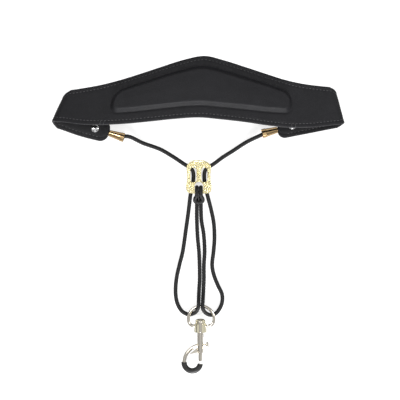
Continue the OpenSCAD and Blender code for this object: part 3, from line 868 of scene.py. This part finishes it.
RING = np.array([3.3, -106, 5.9])
RING_R, RING_WIRE, CORNER_R = 13.4, 3.2, 6
CORNER_FROM, CORNER_TO = 10, 75
corner_x = (RING_R - CORNER_R) * math.cos(math.radians(CORNER_FROM))
corner_y = -(RING_R - CORNER_R) * math.sin(math.radians(CORNER_FROM))
bottom_up = corner_x / math.cos(math.radians(CORNER_TO))
BOTTOM_R = CORNER_R + bottom_up
bottom_y = corner_y + bottom_up * math.sin(math.radians(CORNER_TO))
GAP_FROM, RING_GAP = 4, 1.4
ring_path = (arc(0, bottom_y, BOTTOM_R, -CORNER_TO - GAP_FROM + RING_GAP, -CORNER_TO, 3)
             + arc(corner_x, corner_y, CORNER_R, -CORNER_TO, -CORNER_FROM, 14)[1:]
             + arc(0, 0, RING_R, -CORNER_FROM, 180 + CORNER_FROM, 60)[1:]
             + arc(-corner_x, corner_y, CORNER_R, 180 + CORNER_FROM, 180 + CORNER_TO, 14)[1:]
             + arc(0, bottom_y, BOTTOM_R, -180 + CORNER_TO, -CORNER_TO - GAP_FROM, 16)[1:])
points, faces = sweep([p + RING for p in ring_path], RING_WIRE / 2, 32)
ring = mesh_object("ring_wire", in_metres(points), faces)
ring.data.materials.append(hook_plate)
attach(ring, "ring")
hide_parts("hook_ring")
print("ring faces", len(ring.data.polygons))

# %% Hook arm
HOOK_X, HOOK_Z = 2.5, RING[2]
HEAD_W = 12.6
HEAD_DOWN, HEAD_GAP = 5.7, 0.7    # from the ring's wire to the head's end, then to the barrel
BARREL_L, BOLT_OUT, BOLT_OVER = 20.6, 9.2, 1.5
bow = BOTTOM_R * (1 - math.cos(math.asin(HEAD_W / 2 / BOTTOM_R)))
wire_y = RING[1] + bottom_y - BOTTOM_R + bow / 2
barrel_top = wire_y - HEAD_DOWN - HEAD_GAP
barrel_bottom = barrel_top - BARREL_L
LOOP_R, ARM_R, ARM_D = 8.5, 18.2, 3.8
ARM_COVER = 0.03                  # the fine arm lies just outside the flats of its CAD solid
loop_y = barrel_bottom - BOLT_OUT - BOLT_OVER
arm_path = (arc(ARM_R - 2 * LOOP_R, loop_y, ARM_R, 102, 180, 26)
            + arc(-LOOP_R, loop_y, LOOP_R, 180, 206, 5)[1:])
hook_at = np.array([HOOK_X, 0, HOOK_Z])
points, faces = sweep([p + hook_at for p in arm_path], ARM_D / 2 + ARM_COVER, 28)
arm = mesh_object("hook_arm", in_metres(points), faces)
arm.data.materials.append(hook_plate)
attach(arm, "hook")
print("arm faces", len(arm.data.polygons))

# %% [markdown]
# ## Cast relief on the adjuster
# The plate's face carries raised scrollwork: a bead just inside the outline and round each slot,
# paired spirals, and small leaves up the middle. It is a general floral pattern, mirrored.

# %% Scrolls
PLATE_X, PLATE_Y, PLATE_TOP = 0.9, 42.0, 8.4
PLATE_W, PLATE_L = 26.5, 35
BEAD_W, BEAD_L, BEAD_R = 0.93, 0.945, 0.5  # the bead's outline as shares of the plate's
SLOT_X, SLOT_Y, SLOT_EDGE, SLOT_HALF, SLOT_BEAD_R = 5.7, 2.4, 4.0, 4.55, 0.38
VINE_R, VINE_CLOSE = 0.36, 0.82   # a spiral's wire, and how far it winds in
LEAF_UP = 0.55
HALF_PLATE = [(0, 0.5), (0.2, 0.5), (0.36, 0.44), (0.46, 0.36), (0.485, 0.27), (0.455, 0.14),
              (0.45, 0), (0.465, -0.14), (0.5, -0.24), (0.5, -0.36), (0.46, -0.44)]
SPIRALS = [  # x, y, outer radius, start angle, turns
    (4.3, 13.2, 2.5, 200, 1.5), (9.0, 12.2, 1.6, 20, -1.4), (10.7, 7.2, 1.3, 90, 1.3),
    (10.4, 2.6, 1.2, 270, -1.3), (10.4, -2.2, 1.3, 90, 1.3), (10.6, -8.2, 1.9, 100, 1.5),
    (6.9, -8.6, 1.9, 30, -1.5), (9.2, -12.9, 1.9, 240, 1.5), (6.2, -13.0, 1.0, 0, -1.2)]
LEAVES = [  # x, y, half length, half width, angle
    (0, 15.2, 1.8, 0.8, 90), (1.5, 10.6, 1.7, 0.6, 60), (0, 8.0, 1.4, 0.7, 90),
    (1.3, 5.6, 1.4, 0.55, 50), (0, 3.2, 1.3, 0.65, 90), (1.3, 1.0, 1.4, 0.55, 50),
    (0, -1.6, 1.3, 0.65, 90), (1.2, -3.8, 1.1, 0.5, 40), (6.9, 12.4, 1.5, 0.5, 130),
    (7.6, 14.8, 1.2, 0.5, 160), (12.0, 4.9, 1.1, 0.4, 90), (11.9, 0.1, 1.1, 0.4, 90),
    (8.8, -5.9, 1.3, 0.5, 10), (5.8, -6.4, 1.1, 0.5, 150), (12.2, -11.0, 1.2, 0.45, 80)]


def on_plate(x, y, up=0.0):
    """A place on the plate's face, measured from its middle."""
    return np.array([PLATE_X + x, PLATE_Y + y, PLATE_TOP + up])


def spiral(x, y, r, start, turns, mirror):
    path = []
    for i in range(41):
        share = i / 40
        a = math.radians(start) + math.tau * turns * share
        now = r * (1 - VINE_CLOSE * share)
        path.append(on_plate(mirror * (x + now * math.cos(a)), y + now * math.sin(a)))
    return path


def slot_ring(side):
    """The bead round one slot: two half circles joined by straight sides."""
    turns = [math.tau * (i + 0.5) / 48 for i in range(49)]
    return [on_plate(side * SLOT_X + SLOT_EDGE * math.cos(a),
                     SLOT_Y + math.copysign(SLOT_HALF, math.sin(a)) + SLOT_EDGE * math.sin(a))
            for a in turns]


def leaf(points, faces, x, y, length, width, angle, mirror):
    """Adds one pointed leaf, as rings of points from its stalk to its tip."""
    base, turn = len(points), math.radians(angle)
    rows, cols = 9, 10
    for i in range(rows):
        u = math.pi * i / (rows - 1)
        for k in range(cols):
            v = math.tau * k / cols
            a, b = length * -math.cos(u), width * math.sin(u) ** 1.4 * math.cos(v)
            px = a * math.cos(turn) - b * math.sin(turn)
            py = a * math.sin(turn) + b * math.cos(turn)
            points.append(on_plate(mirror * (x + px), y + py, LEAF_UP * math.sin(u) * math.sin(v)))
    for i in range(rows - 1):
        for k in range(cols):
            a, b = base + i * cols + k, base + i * cols + (k + 1) % cols
            faces.append((a, b, b + cols, a + cols)[::mirror])


def add_tube(points, faces, path, radius, sides=10, relief=None):
    more, round_it = sweep(path, radius, sides, relief)
    faces.extend(tuple(v + len(points) for v in corners) for corners in round_it)
    points.extend(more)


def make_relief():
    points, faces = [], []
    edge = [(x * PLATE_W * BEAD_W, y * PLATE_L * BEAD_L) for x, y in HALF_PLATE]
    for mirror in (1, -1):
        rim = smooth_route([(mirror * x, y, PLATE_TOP) for x, y in edge], 0, len(edge) - 1)
        add_tube(points, faces, [on_plate(q[0], q[1]) for q in rim], BEAD_R)
        add_tube(points, faces, slot_ring(mirror), SLOT_BEAD_R)
        for x, y, r, start, turns in SPIRALS:
            add_tube(points, faces, spiral(x, y, r, start, turns, mirror), VINE_R)
        for x, y, length, width, angle in LEAVES:
            if mirror == 1 or x:
                leaf(points, faces, x, y, length, width, angle, mirror)
    return mesh_object("adjuster_scrolls", in_metres(points), faces)


scrolls = make_relief()
scrolls.data.materials.append(adjuster_gold)
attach(scrolls, "adjuster")
print("relief faces", len(scrolls.data.polygons))

# %% [markdown]
# ## Ribs of the swivel
# A round rib runs down the front and the back of the swivel, in line with the hook's barrel. Each
# is a plain tube sunk into the head, drawn in over its last stretch so that it fades out.

# %% Swivel ribs
RIB_R, RIB_UP = 2.75, 2.9         # radius, and height of its middle over the hook's axis
RIB_FROM, RIB_TO = -5.6, 7.2      # its ends, measured from the ring's wire
FADE_FROM, FADE_RUN, FADE_IN = 10.6, 2.2, 1.1


def rib_fade(angle, run):
    return -FADE_IN * ramp((run - FADE_FROM) / FADE_RUN) ** 2


def swivel_ribs():
    points, faces = [], []
    for side in (1, -1):
        path = [np.array([HOOK_X, y, HOOK_Z + side * RIB_UP])
                for y in np.linspace(wire_y + RIB_FROM, wire_y + RIB_TO, 24)]
        add_tube(points, faces, path, RIB_R, 32, rib_fade)
    return mesh_object("swivel_ribs", in_metres(points), faces)


ribs = swivel_ribs()
ribs.data.materials.append(hook_plate)
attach(ribs, "swivel")
print("rib faces", len(ribs.data.polygons))

# %% [markdown]
# ## Return spring
# The spring sits between the bolt and the top of the bore, out of sight. It is one coil of wire.

# %% Coil
SPRING_R, SPRING_WIRE, SPRING_COILS = 1.5, 0.5, 5
STEM_DOWN, STEM_R, BOLT_BACK = 13.4, 1.5, 0.6  # the knob's stem, and the bolt behind it
BORE_END, SPRING_GAP = 1.2, 0.35
SPRING_STEPS = 180


def spring_helix():
    low = barrel_top - STEM_DOWN + STEM_R + BOLT_BACK + SPRING_GAP
    high = barrel_top - BORE_END - SPRING_GAP
    turns = [math.tau * SPRING_COILS * i / SPRING_STEPS for i in range(SPRING_STEPS + 1)]
    return [np.array([HOOK_X + SPRING_R * math.cos(a), low + (high - low) * i / SPRING_STEPS,
                      HOOK_Z + SPRING_R * math.sin(a)]) for i, a in enumerate(turns)]


helix = spring_helix()
points, faces = sweep(helix, SPRING_WIRE / 2, 10)
spring = mesh_object("return_spring", in_metres(points), faces)
spring.data.materials.append(spring_steel)
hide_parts("trigger_spring")
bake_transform(spring)
print("spring length", round(helix[-1][1] - helix[0][1], 2), "mm")

# %% [markdown]
# ## Rigid fittings
# The bells, rivets, adjuster plate and snap hook are the frame's own solids. They only need a
# finish, so each gets one of the materials made above.

# %% Finishes for the rigid nodes
def finish(material, *nodes):
    """Gives the frame's solids one material."""
    for node in nodes:
        obj = bpy.data.objects[node]
        obj.data.materials.clear()
        obj.data.materials.append(material)


finish(hook_plate, "hook_body", "trigger_bolt", "thumb_knob")
finish(head_plate, "swivel_head")
finish(dip_black, "hook_sleeve")
finish(bell_gold, "left_bell", "right_bell")
finish(adjuster_gold, "adjuster_body")
finish(rivet_plate, "left_rivet_cap", "right_rivet_cap", "left_rivet_post", "right_rivet_post")
finish(yarn_black, "left_cord_tail", "right_cord_tail")
print("finishes", len(bpy.data.materials))
